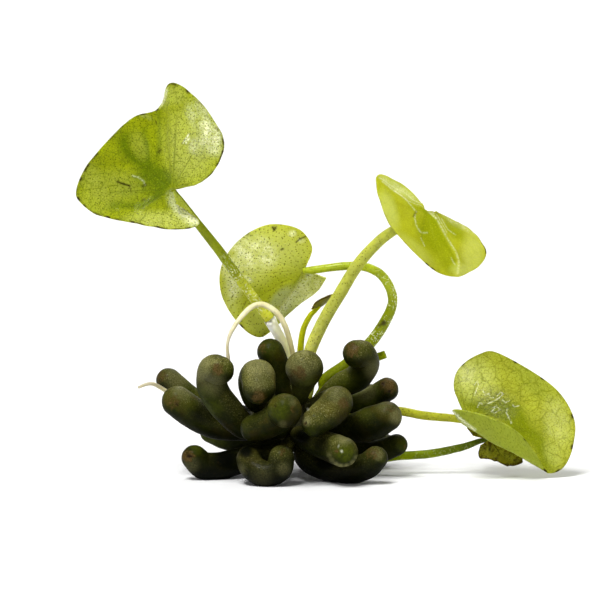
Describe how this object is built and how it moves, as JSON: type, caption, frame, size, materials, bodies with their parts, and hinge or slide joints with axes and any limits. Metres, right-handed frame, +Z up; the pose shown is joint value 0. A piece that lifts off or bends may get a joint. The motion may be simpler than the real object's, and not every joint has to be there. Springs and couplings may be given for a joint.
{
  "type": "banana lily",
  "caption": "Floating-leaved water plant with spotted heart-shaped leaves on slender stalks above a cluster of thick banana-shaped roots.",
  "frame": {"origin": "middle of the plant's outline seen from above, on the surface that its roots rest on", "axes": "+X to the right as in the picture, +Y away from the viewer, +Z up"},
  "size_m": [0.0996, 0.0444, 0.079],
  "materials": {
    "banana_root_skin": "dark olive skin with a grey bloom and brown tips",
    "crown_skin": "rough dark rhizome",
    "leaf_blade": "wet yellow-green leaf with dark dots",
    "old_leaf_blade": "wet olive-brown leaf with dark veins",
    "stalk_skin": "smooth green stalk with fine dots",
    "pale_skin": "creamy white, a little see-through"
  },
  "bodies": {
    "root": {"banana_root_01": "banana_root_skin", "banana_root_02": "banana_root_skin", "banana_root_03": "banana_root_skin", "banana_root_04": "banana_root_skin", "banana_root_05": "banana_root_skin", "banana_root_06": "banana_root_skin", "banana_root_07": "banana_root_skin", "banana_root_08": "banana_root_skin", "banana_root_09": "banana_root_skin", "banana_root_10": "banana_root_skin", "banana_root_11": "banana_root_skin", "banana_root_12": "banana_root_skin", "banana_root_13": "banana_root_skin", "banana_root_14": "banana_root_skin", "banana_root_15": "banana_root_skin", "banana_root_16": "banana_root_skin", "banana_root_17": "banana_root_skin", "banana_root_18": "banana_root_skin", "banana_root_19": "banana_root_skin", "banana_root_20": "banana_root_skin", "banana_root_21": "banana_root_skin", "banana_root_22": "banana_root_skin", "banana_root_23": "banana_root_skin", "banana_root_24": "banana_root_skin", "banana_root_25": "banana_root_skin", "crown": "crown_skin", "leaf_upper_left": "leaf_blade", "leaf_middle": "leaf_blade", "leaf_upper_right": "leaf_blade", "leaf_right": "leaf_blade", "leaf_young": "old_leaf_blade", "leaf_small_right": "old_leaf_blade", "stem_upper_left": "stalk_skin", "stem_middle": "stalk_skin", "stem_upper_right": "stalk_skin", "stem_young": "stalk_skin", "stem_right": "stalk_skin", "stem_small_right": "stalk_skin", "stem_stub": "stalk_skin", "stem_sheath": "pale_skin", "thread_root_arched": "pale_skin", "thread_root_left": "pale_skin"}
  },
  "joints": []
}
